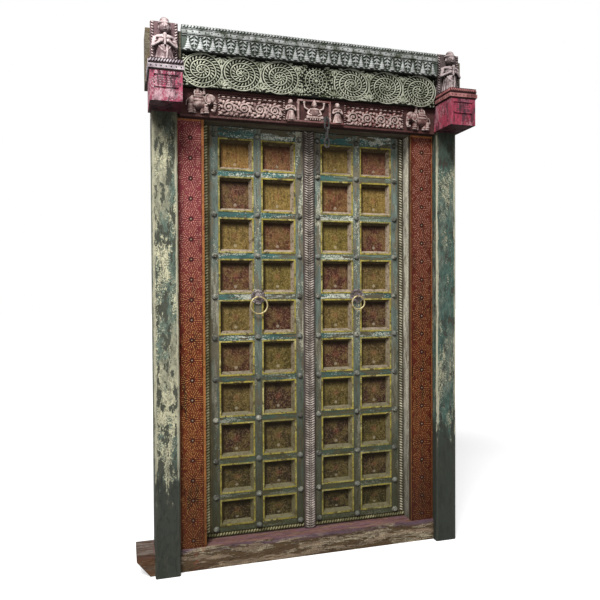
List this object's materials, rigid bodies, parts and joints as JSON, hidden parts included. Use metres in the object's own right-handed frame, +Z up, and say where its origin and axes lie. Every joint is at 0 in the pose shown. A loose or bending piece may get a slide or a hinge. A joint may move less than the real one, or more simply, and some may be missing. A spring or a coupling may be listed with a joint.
{
  "type": "painted wooden double door",
  "caption": "Carved and painted wooden double door in its frame, with coffered leaves that turn inwards on pintles, ring pulls and a lock chain.",
  "frame": {"origin": "underside of the sill, halfway between the posts, in the plane of the face boards' fronts", "axes": "+X to the right seen from the front, +Y from the front to the back, +Z up"},
  "size_m": [1.558, 0.345, 2.389],
  "materials": {
    "sill_wood": "weathered brown-grey wood with worn purple paint on its edge",
    "green_paint": "weathered grey-green paint with pale chips",
    "red_paint": "worn crimson paint with floral dots",
    "bare_wood": "dark aged wood, coffer floors with worn paint",
    "mauve_carving": "carved wood with dusty mauve-pink paint",
    "sage_carving": "carved wood with pale sage paint on dark green",
    "yellow_paint": "worn mustard-yellow paint",
    "stud_metal": "pale grey-green painted metal",
    "brass": "dull worn brass",
    "iron": "dark forged iron"
  },
  "bodies": {
    "frame": {"sill": "sill_wood", "left_post": "green_paint", "right_post": "green_paint", "left_jamb": "bare_wood", "right_jamb": "bare_wood", "left_face_board": "red_paint", "right_face_board": "red_paint", "lintel": "bare_wood", "lintel_board": "mauve_carving", "head_beam": "bare_wood", "frieze_board": "sage_carving", "cornice_board": "sage_carving", "left_capital": "red_paint", "right_capital": "red_paint", "left_capital_cap": "red_paint", "right_capital_cap": "red_paint", "left_figure": "mauve_carving", "right_figure": "mauve_carving", "pivot_rail": "bare_wood", "lintel_staple": "iron"},
    "left_leaf": {"left_hanging_plank": "bare_wood", "left_planks": "bare_wood", "left_hanging_stile": "green_paint", "left_middle_stile": "green_paint", "left_meeting_stile": "green_paint", "left_rails": "green_paint", "left_coffer_frames": "yellow_paint", "left_studs": "stud_metal", "left_side_rope": "yellow_paint", "left_foot_rope": "yellow_paint", "left_battens": "bare_wood", "left_ring_boss": "stud_metal", "astragal": "mauve_carving"},
    "right_leaf": {"right_hanging_plank": "bare_wood", "right_planks": "bare_wood", "right_hanging_stile": "green_paint", "right_middle_stile": "green_paint", "right_meeting_stile": "green_paint", "right_rails": "green_paint", "right_coffer_frames": "yellow_paint", "right_studs": "stud_metal", "right_side_rope": "yellow_paint", "right_foot_rope": "yellow_paint", "right_battens": "bare_wood", "right_ring_boss": "stud_metal", "chain_hasp": "iron"},
    "left_ring_pull": {"left_ring": "brass"},
    "right_ring_pull": {"right_ring": "brass"},
    "chain_upper": {"chain_upper_link": "iron"},
    "chain_middle": {"chain_middle_link": "iron"},
    "chain_lower": {"chain_lower_link": "iron"}
  },
  "joints": [
    {"name": "left_leaf_turn", "type": "hinge", "parent": "frame", "child": "left_leaf", "pos_m": [-0.528, 0.112, 0.105], "axis": [0, 0, 1], "range_deg": [0, 100]},
    {"name": "right_leaf_turn", "type": "hinge", "parent": "frame", "child": "right_leaf", "pos_m": [0.528, 0.112, 0.105], "axis": [0, 0, -1], "range_deg": [0, 100]},
    {"name": "left_ring_lift", "type": "hinge", "parent": "left_leaf", "child": "left_ring_pull", "pos_m": [-0.24675, 0.049, 1.21214], "axis": [-1, 0, 0], "range_deg": [0, 110]},
    {"name": "right_ring_lift", "type": "hinge", "parent": "right_leaf", "child": "right_ring_pull", "pos_m": [0.24675, 0.049, 1.21214], "axis": [-1, 0, 0], "range_deg": [0, 110]},
    {"name": "chain_upper_swing", "type": "hinge", "parent": "frame", "child": "chain_upper", "pos_m": [0.046, -0.072, 2.025], "axis": [-1, 0, 0], "range_deg": [0, 85]},
    {"name": "chain_middle_swing", "type": "hinge", "parent": "chain_upper", "child": "chain_middle", "pos_m": [0.046, -0.072, 1.973], "axis": [-1, 0, 0], "range_deg": [-20, 60]},
    {"name": "chain_lower_swing", "type": "hinge", "parent": "chain_middle", "child": "chain_lower", "pos_m": [0.046, -0.072, 1.93226], "axis": [-1, 0, 0], "range_deg": [-20, 60]}
  ]
}
